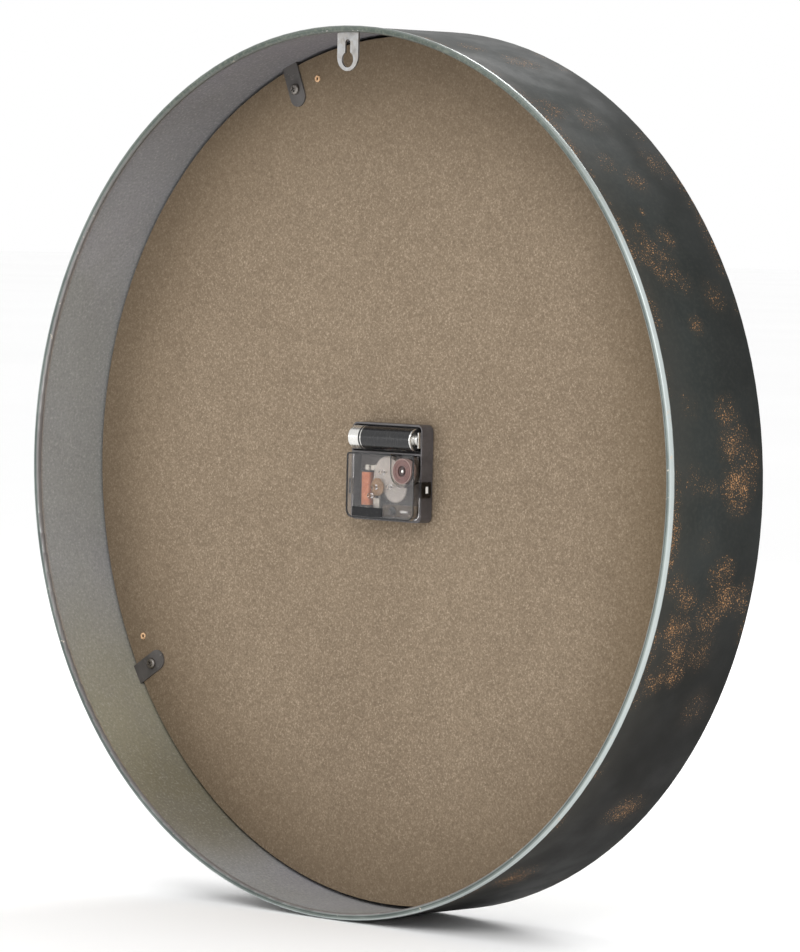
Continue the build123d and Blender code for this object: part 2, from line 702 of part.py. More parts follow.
# ---- stepping motor ----
y_magnet = y_stator + stator_sheet / 2 - magnet_length / 2
rotor_pinion = gear(train_pinion, inter_module, pinion_addendum, rotor_pinion_phase, rotor_at,
                    y_inter_wheel - pinion_past, y_inter_wheel + wheel_web + pinion_past)
rotor_pinion += disc(arbor_radius, y_plate + 0.1, y_pivot, rotor_at)
rotor_pinion -= disc(arbor_radius, y_magnet, y_magnet + magnet_length, rotor_at)
rotor_pinion += disc(arbor_radius * 0.8, y_magnet, y_magnet + magnet_length, rotor_at)
save(rotor_pinion, "rotor_pinion")
save(ring(magnet_radius, arbor_radius * 0.8, y_magnet, y_magnet + magnet_length, rotor_at), "rotor_magnet")

coil_low, coil_high = coil_z - coil_length / 2, coil_z + coil_length / 2
arm = core_width
bar_left = rotor_at[0] - stator_width / 2
stator = block(bar_left, bar_left + stator_width, coil_low - arm, coil_high + arm, y_stator, y_stator + stator_sheet)
for low in (coil_low - arm, coil_high):
    stator += block(bar_left, coil_x + core_width / 2, low, low + arm, y_stator, y_stator + stator_sheet)
stator -= disc(magnet_radius + stator_gap, y_stator, y_stator + stator_sheet, rotor_at)
save(stator, "stator")

y_core = y_stator + stator_sheet
core_mid = y_core + stator_sheet / 2
save(block(coil_x - core_width / 2, coil_x + core_width / 2, coil_low - arm, coil_high + arm,
           y_core, y_core + stator_sheet), "coil_core")


def coil_layer(width, depth, low, high):
    return block(coil_x - width / 2, coil_x + width / 2, low, high, core_mid - depth / 2, core_mid + depth / 2)


tube_width, tube_depth = core_width + 1.0, stator_sheet + 1.0
bobbin = coil_layer(tube_width, tube_depth, coil_low, coil_high)
for low in (coil_low, coil_high - coil_flange):
    bobbin += coil_layer(coil_width, coil_thickness, low, low + coil_flange)
bobbin -= coil_layer(core_width, stator_sheet, coil_low, coil_high)
save(bobbin, "coil_bobbin")
winding = coil_layer(coil_width - 0.8, coil_thickness - 0.8, coil_low + coil_flange, coil_high - coil_flange)
winding = fillet(winding.edges().filter_by(Axis.Z), 2.0)
winding -= coil_layer(tube_width, tube_depth, coil_low + coil_flange, coil_high - coil_flange)
save(winding, "coil_winding")

# ---- circuit board ----
pcb_x, pcb_z = pcb_centre
y_pcb = y_train
y_parts = y_pcb + pcb_thickness
save(slab(Pos(*pcb_centre) * Rectangle(*pcb_size), y_pcb, y_parts), "circuit_board")
blob = disc(blob_radius, y_parts, y_parts + 1.3, (pcb_x + 5, pcb_z))
save(fillet(blob.edges().group_by(Axis.Y)[-1], 1.1), "chip_blob")
save(rod(crystal_radius, pcb_x - 8.5, pcb_x - 8.5 + crystal_length, y_parts + crystal_radius, pcb_z),
     "quartz_crystal")
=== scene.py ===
"""Looks for the wall clock: finishes for every CAD piece, small surface pieces, light and camera. Metres."""
import json
from math import radians

import bpy
import numpy as np
from mathutils import Matrix, Vector


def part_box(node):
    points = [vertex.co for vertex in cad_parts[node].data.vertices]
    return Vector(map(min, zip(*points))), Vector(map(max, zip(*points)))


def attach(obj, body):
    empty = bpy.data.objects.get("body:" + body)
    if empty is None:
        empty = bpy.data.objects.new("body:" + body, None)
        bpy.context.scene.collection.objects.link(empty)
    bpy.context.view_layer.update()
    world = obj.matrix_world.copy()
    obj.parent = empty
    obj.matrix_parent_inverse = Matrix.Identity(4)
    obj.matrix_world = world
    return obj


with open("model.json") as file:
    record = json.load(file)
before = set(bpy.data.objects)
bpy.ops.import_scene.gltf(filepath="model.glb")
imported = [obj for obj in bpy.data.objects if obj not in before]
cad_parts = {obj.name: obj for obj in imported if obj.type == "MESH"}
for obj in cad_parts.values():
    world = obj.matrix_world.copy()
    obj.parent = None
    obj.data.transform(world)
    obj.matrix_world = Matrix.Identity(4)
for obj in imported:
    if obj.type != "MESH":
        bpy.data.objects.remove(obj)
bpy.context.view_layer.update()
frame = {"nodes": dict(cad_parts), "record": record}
pieces = frame["nodes"]
slot_of = {part["node"]: part["material_slot"] for part in frame["record"]["subparts"]}

# ---- places read from the frame, and the drum's sheet ----
drum_low, drum_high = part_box("drum_band")
drum_radius = drum_high.x
rear_y = drum_high.y
wall_inner = drum_radius - 0.0018
hem_width = 0.0039
board_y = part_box("back_board")[1].y
case_low, case_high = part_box("movement_base")
catch_height = 0.0004
case_side = case_high.x - catch_height     # the catches stand out of the case's sides


def rear_end(node):
    """Centre of a CAD piece's rear end."""
    low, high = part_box(node)
    return (low.x + high.x) / 2, high.y, (low.z + high.z) / 2


# ---- finish building ----
class Finish:
    """One procedural material. Patterns read Object coordinates, in metres."""

    def __init__(self, name, base, rough, metal=0.0, **sockets):
        self.material = bpy.data.materials.new(name)
        self.material.use_nodes = True
        tree = self.material.node_tree
        self.nodes, self.links = tree.nodes, tree.links
        self.shader = self.nodes["Principled BSDF"]
        self.place = self.nodes.new("ShaderNodeTexCoord").outputs["Object"]
        self.set("Base Color", (*base, 1.0))
        self.set("Roughness", rough)
        self.set("Metallic", metal)
        for name, value in sockets.items():
            self.set(name.replace("_", " "), value)

    def set(self, socket, value):
        """Link an output to a shader socket, or store a constant on it."""
        if isinstance(value, bpy.types.NodeSocket):
            self.links.new(value, self.shader.inputs[socket])
        else:
            self.shader.inputs[socket].default_value = value

    def add(self, kind, inputs, output=0, **settings):
        """Put in a node, link or store its inputs, and give back one of its outputs."""
        node = self.nodes.new(kind)
        for key, value in settings.items():
            setattr(node, key, value)
        for key, value in inputs.items():
            if isinstance(value, bpy.types.NodeSocket):
                self.links.new(value, node.inputs[key])
            else:
                node.inputs[key].default_value = value
        return node.outputs[output]

    def shifted(self, shift=(0, 0, 0), stretch=(1, 1, 1), turn=(0, 0, 0)):
        """Object coordinates moved, stretched or turned."""
        return self.add("ShaderNodeMapping",
                        {"Vector": self.place, "Location": shift, "Scale": stretch, "Rotation": turn})

    def noise(self, scale, detail=4.0, rough=0.55, place=None, warp=0.0):
        """Cloudy pattern, about 0.5 on average."""
        return self.add("ShaderNodeTexNoise",
                        {"Vector": place or self.place, "Scale": scale, "Detail": detail, "Roughness": rough,
                         "Distortion": warp})

    def cells(self, scale):
        """Distance to the nearest of many scattered spots."""
        return self.add("ShaderNodeTexVoronoi", {"Vector": self.place, "Scale": scale})

    def calc(self, operation, a, b=0.0):
        """One sum on numbers or outputs."""
        return self.add("ShaderNodeMath", {0: a, 1: b}, operation=operation)

    def plus(self, a, b):
        return self.calc("ADD", a, b)

    def times(self, a, b):
        return self.calc("MULTIPLY", a, b)

    def larger(self, a, b):
        return self.calc("MAXIMUM", a, b)

    def rest_of(self, share):
        """1 minus the share."""
        return self.calc("SUBTRACT", 1.0, share)

    def span(self, value, low, high, to_low=0.0, to_high=1.0):
        """Smooth step of value from low..high to to_low..to_high."""
        return self.add("ShaderNodeMapRange", {"Value": value, "From Min": low, "From Max": high,
                                               "To Min": to_low, "To Max": to_high},
                        interpolation_type="SMOOTHSTEP")

    def blend(self, share, a, b):
        """Colour a where share is 0, b where it is 1."""
        node = self.nodes.new("ShaderNodeMix")
        node.data_type = "RGBA"
        for key, value in ((0, share), (6, a), (7, b)):
            if isinstance(value, bpy.types.NodeSocket):
                self.links.new(value, node.inputs[key])
            else:
                node.inputs[key].default_value = value if key == 0 else (*value, 1.0)
        return node.outputs[2]

    def axis(self, index):
        """One coordinate: 0 across, 1 along the depth, 2 up."""
        return self.add("ShaderNodeSeparateXYZ", {0: self.place}, index)

    def radius(self):
        """Distance from the hands' axis."""
        flat = self.add("ShaderNodeVectorMath", {0: self.place, 1: (1, 0, 1)}, operation="MULTIPLY")
        return self.add("ShaderNodeVectorMath", {0: flat}, "Value", operation="LENGTH")

    def away(self, spot):
        """Distance from a spot."""
        return self.add("ShaderNodeVectorMath", {0: self.place, 1: spot}, "Value", operation="DISTANCE")

    def near(self, spot, inner, outer):
        """1 within inner of a spot, falling to 0 at outer."""
        return self.span(self.away(spot), inner, outer, 1.0, 0.0)

    def relief(self, *layers):
        """Stack of (height, strength, depth) bumps on the shader's normal."""
        normal = None
        for height, strength, depth in layers:
            inputs = {"Height": height, "Strength": strength, "Distance": depth}
            if normal is not None:
                inputs["Normal"] = normal
            normal = self.add("ShaderNodeBump", inputs)
        self.set("Normal", normal)


def tones(f, base, spread, pattern):
    """Base colour, darker by the spread where the pattern is low and lighter where it is high."""
    dark = tuple(c * (1 - spread) for c in base)
    light = tuple(min(1.0, c * (1 + spread)) for c in base)
    return f.blend(f.span(pattern, 0.3, 0.7), dark, light)


# ---- drum: worn dark paint outside, cloudy satin inside ----
def on_wall(angle, y, radius=drum_radius):
    """Point on the drum's wall: angle in degrees from three o'clock towards twelve, y along the depth."""
    return radius * np.cos(radians(angle)), y, radius * np.sin(radians(angle))


# worn patches on the outer wall: angle, y and size in mm, strength
WORN = [
    (149, 20, 11, 0.7), (151, 12, 12, 0.7), (153, 4, 10, 0.5), (146, 20, 7, 0.5), (143, 9, 3, 1.0),
    (147, 1, 8, 0.5), (159, 1, 6, 0.7), (155, -21, 10, 0.4), (138, -1, 9, 0.5), (135, 15, 10, 0.4),
    (135, -27, 13, 0.4), (169, 19, 8, 0.5), (170, -11, 10, 0.6), (174, -15, 12, 0.8), (176, -27, 10, 0.5),
    (178, 20, 10, 0.25), (179, 7, 8, 0.5), (179, -18, 13, 1.0), (181, -18, 9, 0.8), (186, 6, 8, 0.25),
    (190, -10, 10, 1.0), (193, -16, 10, 0.9), (193, 15, 8, 1.0), (191, 26, 8, 0.5), (193, -31, 11, 0.5),
    (195, -6, 11, 0.7), (197, 18, 11, 0.9), (200, 13, 9, 0.8), (200, -6, 13, 0.5), (203, 8, 8, 0.8),
    (203, 21, 7, 0.7), (204, 24, 8, 0.8), (206, 35, 8, 0.5), (208, -20, 13, 0.3), (127, -1, 13, 0.4),
    (125, 21, 11, 0.5), (112, -6, 13, 0.5), (107, 11, 10, 0.4), (225, -14, 14, 0.7), (240, 16, 14, 0.8),
    (262, -4, 15, 0.8), (288, -12, 15, 0.8), (310, 14, 14, 0.9), (330, -20, 14, 0.8), (346, 10, 14, 0.8),
    (4, -14, 15, 0.9), (22, 20, 14, 0.8), (40, -6, 15, 0.9), (58, 16, 13, 0.7), (76, -18, 15, 0.8),
    (92, 12, 12, 0.5)]


def rubbed_outside(f, y):
    """Dark slate paint, rubbed to copper specks in patches and at both edges, with painted shade low down:
    its colour and the specks.
    """
    worn = None
    for angle, depth, size, strength in WORN:
        patch = f.times(f.near(on_wall(angle, depth * 0.001), 0.0, size * 0.0016), strength)
        worn = patch if worn is None else f.larger(worn, patch)
    loose = f.times(f.span(f.noise(13.0, 4.0), 0.56, 0.80), 0.40)
    edge = f.times(f.span(y, rear_y - 0.014, rear_y - 0.004), f.span(f.noise(24.0, 4.0), 0.42, 0.66))
    front_edge = f.times(f.span(y, -rear_y, -rear_y + 0.012, 1.0, 0.0),
                         f.span(f.noise(22.0, 3.0), 0.50, 0.70))
    area = f.larger(worn, loose)
    area = f.larger(area, f.larger(f.times(edge, 0.75), f.times(front_edge, 0.5)))
    area = f.times(area, f.span(f.noise(75.0, 5.0, 0.65), 0.30, 0.64, 0.25, 1.0))
    fine = f.noise(1150.0, 2.0, 0.6)
    speck = f.span(f.plus(fine, f.times(area, 0.21)), 0.665, 0.715)
    speck = f.times(speck, f.span(area, 0.04, 0.22))
    copper = f.blend(f.span(f.noise(700.0, 2.0), 0.40, 0.64), (0.150, 0.076, 0.032), (0.50, 0.27, 0.125))
    paint = f.blend(f.span(f.noise(14.0, 5.0), 0.3, 0.7), (0.0150, 0.0180, 0.0165), (0.026, 0.030, 0.028))
    paint = f.blend(f.span(f.noise(420.0, 3.0), 0.42, 0.72, 0.0, 0.30), paint, (0.044, 0.045, 0.038))
    # painted shade: the lower part of the outer wall is darkened towards near black
    shaded_low_side = f.rest_of(f.span(f.axis(2), -0.14, -0.01, 0.08, 1.0))
    paint = f.blend(shaded_low_side, paint, (0.0070, 0.0064, 0.0050))
    paint = f.blend(f.span(y, 0.008, 0.034, 0.0, 0.34), paint, (0.050, 0.047, 0.039))
    fore = f.rest_of(f.span(y, -0.034, 0.012, 0.45, 1.0))
    paint = f.blend(fore, paint, (0.0080, 0.0085, 0.0080))
    stain = f.blend(f.times(area, 0.55), paint, (0.066, 0.048, 0.030))
    colour = f.blend(f.times(speck, 0.92), stain, copper)
    nick = f.times(f.span(f.cells(90.0), 0.022, 0.032, 1.0, 0.0), f.span(f.noise(6.0, 2.0), 0.5, 0.6))
    colour = f.blend(f.times(nick, 0.8), colour, (0.50, 0.42, 0.32))
    return colour, speck


def cloudy_inside(f, y):
    """Grey-green satin with drifting lilac, ochre stains low down, a darker brown patch low on one side,
    painted shade over the top, dust and a rust line.
    """
    cloud = f.span(f.noise(5.5, 4.0, 0.5, warp=0.3), 0.36, 0.66)
    inner = f.blend(cloud, (0.315, 0.316, 0.324), (0.290, 0.290, 0.275))
    lilac = f.span(f.noise(7.5, 3.0, place=f.shifted((3.1, 0.4, 1.7))), 0.45, 0.70)
    inner = f.blend(f.times(lilac, 0.6), inner, (0.345, 0.325, 0.365))
    ochre = f.larger(f.near(on_wall(318, 0.0), 0.02, 0.13), f.near(on_wall(205, 0.0), 0.02, 0.17))
    inner = f.blend(f.times(ochre, 0.72), inner, (0.290, 0.262, 0.158))
    # a darker brown patch low on the inner wall
    low_dark_patch = f.times(f.near(on_wall(306, 0.0), 0.015, 0.080), 0.80)
    inner = f.blend(low_dark_patch, inner, (0.172, 0.152, 0.098))
    haze = f.span(f.noise(13.0, 5.0, 0.6, place=f.shifted((0.3, 4.4, 2.0))), 0.42, 0.78)
    inner = f.blend(f.times(haze, 0.38), inner, (0.205, 0.200, 0.198))
    # painted shade: the top of the inner wall is darkened
    upper = f.span(f.axis(2), 0.10, 0.25)
    inner = f.blend(f.times(upper, 0.50), inner, (0.135, 0.125, 0.140))
    dust = f.noise(640.0, 3.0, 0.7)
    inner = f.blend(f.span(dust, 0.50, 0.72, 0.0, 0.26), inner, (0.62, 0.60, 0.57))
    inner = f.blend(f.span(dust, 0.50, 0.30, 0.0, 0.30), inner, (0.13, 0.13, 0.13))
    rust_line = f.times(f.span(y, rear_y - 0.0070, rear_y - 0.0040), 0.35)
    inner = f.blend(rust_line, inner, (0.40, 0.27, 0.20))
    return inner


def pale_hem(f, r):
    """Rolled hem: pale green with a painted highlight on the outer lip and on the inner lip, painted shade in
    the groove and over the top, and bare chips.
    """
    ring = f.blend(f.span(f.noise(30.0, 4.0), 0.35, 0.65), (0.120, 0.142, 0.132), (0.200, 0.228, 0.212))
    # painted highlight: a pale lilac-grey band along the hem's inner edge
    inner_lip_highlight = f.span(r, drum_radius - 0.0034, drum_radius - 0.0026, 1.0, 0.0)
    ring = f.blend(f.times(inner_lip_highlight, 0.6), ring, (0.300, 0.265, 0.270))
    # painted shade: a dark line in the crease of the rolled hem
    groove = f.times(f.span(r, drum_radius - 0.0027, drum_radius - 0.0023),
                     f.span(r, drum_radius - 0.0021, drum_radius - 0.0017, 1.0, 0.0))
    ring = f.blend(f.times(groove, 0.75), ring, (0.045, 0.055, 0.053))
    # painted highlight: a bright line along the hem's outer lip
    lip_highlight = f.span(r, drum_radius - 0.0014, drum_radius - 0.0004)
    ring = f.blend(f.times(lip_highlight, 0.85), ring, (0.52, 0.57, 0.56))
    shade = f.span(f.axis(2), 0.10, 0.25)
    ring = f.blend(f.times(shade, 0.74), ring, (0.062, 0.076, 0.062))
    mottled = f.span(f.noise(520.0, 3.0), 0.42, 0.66, 0.0, 0.35)
    ring = f.blend(f.times(mottled, shade), ring, (0.20, 0.21, 0.17))
    chip = f.times(f.span(f.noise(330.0, 3.0), 0.66, 0.72), f.span(f.noise(9.0, 2.0), 0.48, 0.60))
    ring = f.blend(chip, ring, (0.56, 0.50, 0.42))
    return ring


def drum_paint():
    """Rubbed dark paint outside and on the front, cloudy satin inside, pale hem at the rear."""
    f = Finish("drum_paint", (0.02, 0.02, 0.02), 0.5, 0.0, Specular_IOR_Level=0.17)
    r, y = f.radius(), f.axis(1)
    front = f.span(y, -rear_y + 0.0013, -rear_y + 0.0016, 1.0, 0.0)
    outside = f.larger(f.span(r, drum_radius - 0.0016, drum_radius - 0.0012), front)
    hem = f.span(y, rear_y - hem_width - 0.0003, rear_y - hem_width + 0.0003)
    rubbed, speck = rubbed_outside(f, y)
    f.set("Base Color", f.blend(hem, f.blend(outside, cloudy_inside(f, y), rubbed), pale_hem(f, r)))
    rough = f.span(f.noise(35.0, 4.0), 0.3, 0.7, 0.60, 0.74)
    rough = f.calc("SUBTRACT", rough, f.times(hem, 0.32))
    f.set("Roughness", f.plus(rough, f.times(speck, 0.14)))
    f.set("Metallic", f.times(hem, 0.35))
    f.relief((f.noise(60.0, 5.0), 0.12, 0.0005), (f.noise(1100.0, 3.0), 0.25, 0.00012), (speck, 0.4, 0.00008))
    return f.material


def plain_paint(name, base, rough, scale=40.0, metal=0.0, wear=None):
    """Even coat with drifting tone, fine grain and, where wear is given, scuffed light patches."""
    f = Finish(name, base, rough, metal)
    colour = tones(f, base, 0.22, f.noise(scale, 5.0))
    if wear is not None:
        scuff = f.span(f.times(f.noise(scale * 7, 4.0), f.noise(scale * 1.3, 3.0)), 0.33, 0.42)
        colour = f.blend(f.times(scuff, 0.7), colour, wear)
    f.set("Base Color", colour)
    f.set("Roughness", f.span(f.noise(scale * 2, 4.0), 0.3, 0.7, rough - 0.07, rough + 0.09))
    f.relief((f.noise(scale * 1.5, 3.0), 0.2, 0.00018), (f.noise(700.0, 3.0), 0.35, 0.00006))
    return f.material


def brushed_plate(name, base, rough, streak, scale, spangle=0.0):
    """Metal with long fine streaks and, for a galvanised plate, crystal spangle."""
    f = Finish(name, base, rough, 1.0)
    lines = f.noise(scale, 5.0, 0.7, place=f.shifted(stretch=streak))
    dark, light = tuple(c * 0.78 for c in base), tuple(min(1, c * 1.12) for c in base)
    colour = f.blend(f.span(lines, 0.3, 0.7), dark, light)
    if spangle:
        crystal = f.add("ShaderNodeTexVoronoi", {"Vector": f.place, "Scale": 420.0}, "Color")
        tone = f.add("ShaderNodeRGBToBW", {0: crystal})
        colour = f.blend(f.span(tone, 0.2, 0.8, 0.0, spangle), colour, (0.40, 0.41, 0.42))
    tarnish = f.span(f.noise(scale * 1.7, 4.0), 0.52, 0.72)
    colour = f.blend(f.times(tarnish, 0.45), colour, tuple(c * 0.5 for c in base))
    f.set("Base Color", colour)
    f.set("Roughness", f.span(lines, 0.3, 0.7, rough - 0.08, rough + 0.14))
    f.relief((lines, 0.2, 0.00004), (f.noise(1600.0, 2.0), 0.25, 0.00002))
    return f.material


def hardboard():
    """Pressed fibre: very fine mottle, drifting tone, painted shade towards the edge, the far side and the
    top.
    """
    f = Finish("hardboard", (0.28, 0.22, 0.16), 0.85, 0.0, Specular_IOR_Level=0.12)
    fine = f.noise(900.0, 3.0, 0.7)
    middle = f.noise(380.0, 3.0, 0.6)
    fibre = f.noise(520.0, 4.0, 0.7, place=f.shifted(turn=(0.0, 0.5, 0.0), stretch=(1, 1, 4)))
    base = f.blend(f.span(f.noise(7.0, 5.0), 0.3, 0.7), (0.220, 0.167, 0.115), (0.250, 0.192, 0.133))
    base = f.blend(f.span(f.noise(55.0, 4.0), 0.3, 0.7, 0.20, 0.0), base, (0.180, 0.137, 0.094))
    base = f.blend(f.span(fine, 0.30, 0.52, 0.60, 0.0), base, (0.105, 0.078, 0.052))
    base = f.blend(f.span(fine, 0.50, 0.72, 0.0, 0.58), base, (0.50, 0.405, 0.300))
    base = f.blend(f.span(middle, 0.35, 0.65, 0.20, 0.0), base, (0.150, 0.114, 0.078))
    base = f.blend(f.span(fibre, 0.60, 0.76, 0.0, 0.34), base, (0.50, 0.41, 0.315))
    # painted shade: the board is darkened towards the drum wall round its edge
    rim = f.span(f.radius(), 0.165, 0.250, 0.0, 0.42)
    base = f.blend(rim, base, (0.130, 0.092, 0.055))
    # painted shade: the board's far side is darkened
    shaded_far_side = f.rest_of(f.span(f.axis(0), -0.252, -0.120, 0.28, 1.0))
    base = f.blend(shaded_far_side, base, (0.105, 0.072, 0.036))
    # painted shade: the board is darkened towards the top
    top = f.span(f.axis(2), 0.06, 0.25, 0.0, 0.24)
    base = f.blend(top, base, (0.130, 0.098, 0.064))
    f.set("Base Color", base)
    f.relief((middle, 0.22, 0.00014), (fine, 0.45, 0.00013), (fibre, 0.20, 0.00008))
    return f.material


def dial_paper():
    """Aged cream print: brown drift towards the rim, faint stains and paper tooth."""
    f = Finish("dial_paper", (0.66, 0.58, 0.44), 0.7)
    base = tones(f, (0.60, 0.53, 0.40), 0.12, f.noise(9.0, 5.0))
    rim = f.times(f.span(f.radius(), 0.12, 0.25), f.span(f.noise(14.0, 5.0), 0.25, 0.75, 0.3, 1.0))
    base = f.blend(f.times(rim, 0.75), base, (0.32, 0.22, 0.12))
    stain = f.span(f.noise(24.0, 6.0, 0.6, warp=0.8), 0.56, 0.70)
    base = f.blend(f.times(stain, 0.35), base, (0.30, 0.22, 0.13))
    fleck = f.span(f.noise(520.0, 3.0), 0.64, 0.72)
    f.set("Base Color", f.blend(f.times(fleck, 0.45), base, (0.14, 0.10, 0.06)))
    f.relief((f.noise(800.0, 3.0), 0.25, 0.00005))
    return f.material


def dial_ink():
    """Black print, rubbed thin in places."""
    f = Finish("dial_ink", (0.02, 0.02, 0.02), 0.6)
    rub = f.span(f.noise(130.0, 6.0, 0.7), 0.56, 0.66)
    base = f.blend(f.span(f.noise(30.0, 3.0), 0.3, 0.7), (0.012, 0.012, 0.013), (0.030, 0.027, 0.024))
    f.set("Base Color", f.blend(f.times(rub, 0.6), base, (0.22, 0.17, 0.11)))
    f.relief((f.noise(700.0, 3.0), 0.3, 0.00004))
    return f.material


def clear(name, tint, rough, scuff, ior):
    """Clear moulding or glass: faint smears in the gloss and hairline scuffs."""
    f = Finish(name, tint, rough, 0.0, Transmission_Weight=1.0, IOR=ior)
    smear = f.noise(45.0, 5.0, 0.6)
    hair = f.noise(300.0, 3.0, 0.7, place=f.shifted(turn=(0.0, 0.7, 0.0), stretch=(1, 1, 14)))
    f.set("Roughness", f.plus(f.span(smear, 0.35, 0.75, rough, rough + scuff),
                              f.span(hair, 0.62, 0.70, 0.0, scuff)))
    f.set("Base Color", f.blend(f.span(smear, 0.3, 0.7), tint, tuple(c * 0.93 for c in tint)))
    f.relief((smear, 0.05, 0.00005), (hair, 0.10, 0.00001))
    return f.material


def moulded(name, base, rough, spread=0.12, dust=0.0, **sockets):
    """Moulded plastic: faint flow marks, satin grain, slightly uneven tone and a share of pale dust."""
    f = Finish(name, base, rough, **sockets)
    flow = f.noise(160.0, 4.0, 0.6, warp=0.6)
    fleck = f.span(f.noise(2600.0, 2.0), 0.64, 0.72)
    f.set("Base Color", f.blend(f.times(fleck, dust), tones(f, base, spread, flow), (0.45, 0.43, 0.40)))
    f.set("Roughness", f.span(flow, 0.3, 0.7, rough - 0.05, rough + 0.08))
    f.relief((flow, 0.12, 0.00005), (f.noise(3200.0, 2.0), 0.30, 0.00001))
    return f.material


def copper_wire():
    """Enamelled winding: fine turns across the coil's length."""
    f = Finish("copper_wire", (0.62, 0.20, 0.09), 0.32, 0.35)
    turns = f.add("ShaderNodeTexWave", {"Vector": f.place, "Scale": 900.0, "Distortion": 0.4, "Detail": 1.0},
                  output=1, bands_direction="Z")
    base = f.blend(f.span(turns, 0.2, 0.8), (0.42, 0.105, 0.040), (0.85, 0.30, 0.14))
    f.set("Base Color", f.blend(f.span(f.noise(220.0, 3.0), 0.4, 0.7, 0.0, 0.4), base, (0.90, 0.40, 0.20)))
    f.relief((turns, 0.5, 0.00006))
    return f.material


def cell_jacket():
    """Battery sleeve: glossy black film with a plain silver end and one thin silver band."""
    f = Finish("cell_jacket", (0.02, 0.02, 0.022), 0.22, 0.0, Coat_Weight=0.15, Specular_IOR_Level=0.35)
    x = f.axis(0)
    silver = f.larger(f.span(x, 0.0172, 0.0173),
                      f.times(f.span(x, 0.0152, 0.0153), f.span(x, 0.0158, 0.0159, 1.0, 0.0)))
    scratch = f.noise(260.0, 4.0, 0.7, place=f.shifted(stretch=(9, 1, 1)))
    film = f.blend(f.span(scratch, 0.58, 0.70, 0.0, 0.5), (0.010, 0.010, 0.011), (0.11, 0.105, 0.10))
    f.set("Base Color", f.blend(silver, film, (0.70, 0.69, 0.66)))
    f.set("Metallic", f.times(silver, 0.85))
    f.set("Roughness", f.span(scratch, 0.4, 0.7, 0.16, 0.34))
    f.relief((f.noise(150.0, 3.0), 0.15, 0.00005))
    return f.material


def turned_brass():
    """Turned brass: rings round the hands' axis and a little tarnish."""
    f = Finish("brass", (0.60, 0.42, 0.17), 0.3, 1.0)
    outwards = f.add("ShaderNodeCombineXYZ", {0: f.radius()})
    rings = f.add("ShaderNodeTexNoise", {"Vector": outwards, "Scale": 1800.0, "Detail": 3.0})
    base = f.blend(f.span(rings, 0.3, 0.7), (0.48, 0.32, 0.12), (0.72, 0.52, 0.23))
    dull = f.span(f.noise(260.0, 4.0), 0.50, 0.72)
    f.set("Base Color", f.blend(f.times(dull, 0.5), base, (0.25, 0.16, 0.07)))
    f.set("Roughness", f.span(dull, 0.0, 1.0, 0.22, 0.42))
    f.relief((rings, 0.2, 0.00002))
    return f.material


def circuit_brown():
    """Bare resin board with faint raised tracks and tinned pads."""
    f = Finish("board_brown", (0.12, 0.08, 0.04), 0.35)
    tracks = f.add("ShaderNodeTexBrick", {"Vector": f.shifted(turn=(radians(90), 0, 0)), "Scale": 260.0}, 1)
    pads = f.span(f.cells(330.0), 0.16, 0.20, 1.0, 0.0)
    base = f.blend(tracks, (0.105, 0.070, 0.038), (0.185, 0.125, 0.068))
    f.set("Base Color", f.blend(f.times(pads, 0.8), base, (0.50, 0.42, 0.34)))
    f.relief((tracks, 0.3, 0.00003))
    return f.material


def knob_red():
    """Moulded oxblood knob: fine rings round its own shaft, dark hub, pale rubbed edges."""
    f = Finish("knob_red", (0.20, 0.080, 0.066), 0.38)
    out = f.away(rear_end("setting_knob"))
    rings = f.calc("SINE", f.times(out, 9000.0))
    mottle = f.noise(900.0, 3.0)
    base = f.blend(f.span(mottle, 0.3, 0.7), (0.095, 0.040, 0.034), (0.200, 0.100, 0.088))
    base = f.blend(f.span(rings, -0.2, 0.9, 0.0, 0.45), base, (0.34, 0.22, 0.20))
    base = f.blend(f.span(out, 0.0030, 0.0034, 0.85, 0.0), base, (0.035, 0.022, 0.022))
    base = f.blend(f.span(out, 0.0066, 0.0072, 0.0, 0.6), base, (0.44, 0.33, 0.30))
    f.set("Base Color", base)
    f.set("Roughness", f.span(mottle, 0.3, 0.7, 0.30, 0.48))
    f.relief((rings, 0.25, 0.00006), (mottle, 0.2, 0.00003))
    return f.material


def pin_steel():
    """Polished arbor steel, bright at its crown and dull brown round the edge of the setting shaft's end."""
    f = Finish("pin_steel", (0.80, 0.79, 0.76), 0.16, 1.0)
    out = f.away(rear_end("setting_shaft"))
    turned = f.noise(1500.0, 3.0)
    base = f.blend(f.span(turned, 0.3, 0.7), (0.66, 0.64, 0.60), (0.90, 0.89, 0.86))
    edge = f.times(f.span(out, 0.0006, 0.0009), f.span(out, 0.0030, 0.0032, 0.9, 0.0))
    base = f.blend(edge, base, (0.075, 0.052, 0.048))
    f.set("Base Color", base)
    f.set("Roughness", f.span(turned, 0.3, 0.7, 0.14, 0.30))
    f.relief((turned, 0.15, 0.00002))
    return f.material


def black_case():
    """Dark mauve-grey moulding, dust in the grain, with a painted glint on the catch in each latch window."""
    f = Finish("black_case", (0.060, 0.054, 0.056), 0.34)
    flow = f.noise(160.0, 4.0, 0.6, warp=0.6)
    base = f.blend(f.span(flow, 0.3, 0.7), (0.056, 0.050, 0.052), (0.088, 0.080, 0.082))
    dust = f.span(f.noise(2600.0, 2.0), 0.62, 0.72, 0.0, 0.35)
    base = f.blend(dust, base, (0.36, 0.34, 0.32))
    # painted glint: the catch face in each latch window is painted near white
    catch = f.span(f.calc("ABSOLUTE", f.axis(0)), case_side - 0.0001, case_side + 0.0001)
    base = f.blend(catch, base, (0.88, 0.87, 0.84))
    f.set("Base Color", base)
    f.set("Roughness", f.span(flow, 0.3, 0.7, 0.28, 0.44))
    f.relief((flow, 0.12, 0.00005), (f.noise(3200.0, 2.0), 0.30, 0.00001))
    return f.material


